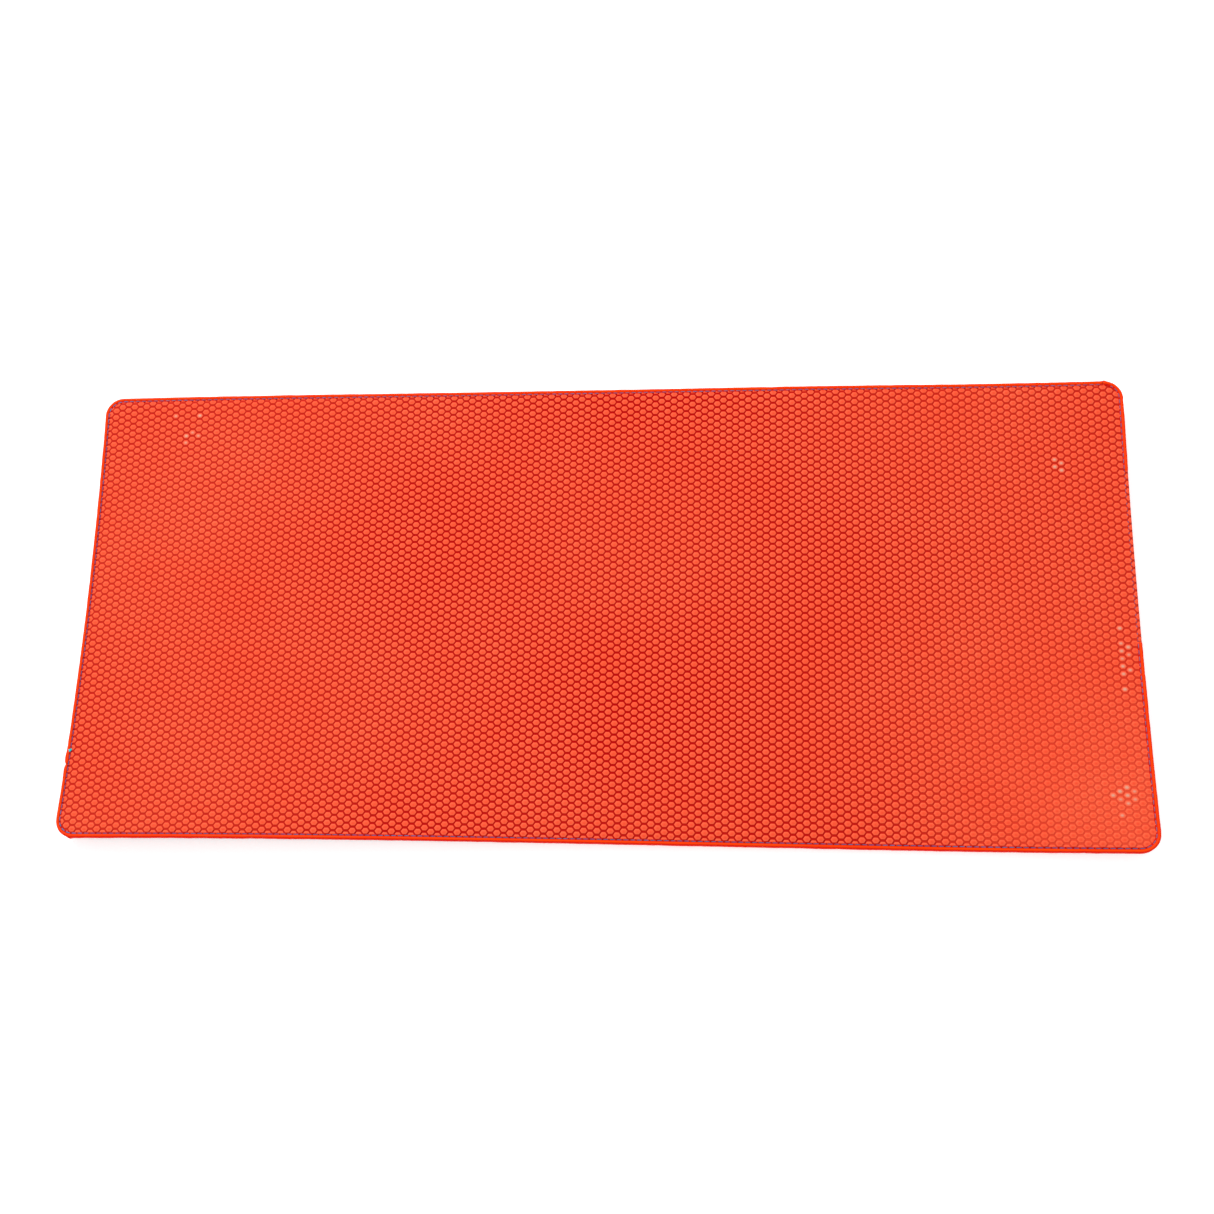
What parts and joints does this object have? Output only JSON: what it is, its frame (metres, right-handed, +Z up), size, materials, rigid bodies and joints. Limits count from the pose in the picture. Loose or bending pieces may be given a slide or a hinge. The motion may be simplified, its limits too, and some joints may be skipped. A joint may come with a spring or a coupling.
{
  "type": "seedling heat mat",
  "caption": "Thin flat rectangular seedling heat mat with rounded corners, an embossed hexagon upper sheet and a sewn edge binding.",
  "frame": {"origin": "middle of the underside, on the surface that the mat lies on", "axes": "+X along the length, +Y across the width towards the edge with the lead inlet, +Z up"},
  "size_m": [0.495, 0.225, 0.0039],
  "materials": {
    "top_cover": "embossed soft PVC, satin",
    "base_cover": "matt, fine-grained underside sheet",
    "binding": "smooth folded binding strip, glossy",
    "thread": "twisted polyester sewing thread",
    "knot": "tied-off thread ends",
    "foam": "closed-cell foam",
    "foil": "thin foil, satin",
    "scrim": "non-woven carrier",
    "resistance_wire": "drawn resistance alloy",
    "wire_jacket": "silicone jacket",
    "lead_insulation": "PVC insulation",
    "conductor": "bare copper",
    "crimp": "tinned copper tube",
    "sleeve": "heat-shrink tube",
    "cutout_case": "moulded case",
    "gland": "moulded rubber insert"
  },
  "bodies": {
    "root": {"base_cover": "base_cover", "reflector_film": "foil", "insulation_foam": "foam", "element_scrim": "scrim", "heat_spreader_foil": "foil", "top_cover": "top_cover", "far_edge_binding": "binding", "near_edge_binding": "binding", "needle_thread": "thread", "bobbin_thread": "thread", "seam_knot": "knot", "heating_wire_core": "resistance_wire", "heating_wire_jacket": "wire_jacket", "start_crimp": "crimp", "end_crimp": "crimp", "start_splice_sleeve": "sleeve", "end_splice_sleeve": "sleeve", "link_lead_conductor": "conductor", "link_lead_insulation": "lead_insulation", "live_lead_conductor": "conductor", "live_lead_insulation": "lead_insulation", "return_lead_conductor": "conductor", "return_lead_insulation": "lead_insulation", "thermal_cutout": "cutout_case", "cutout_sleeve": "sleeve", "inlet_gland": "gland"}
  },
  "joints": []
}
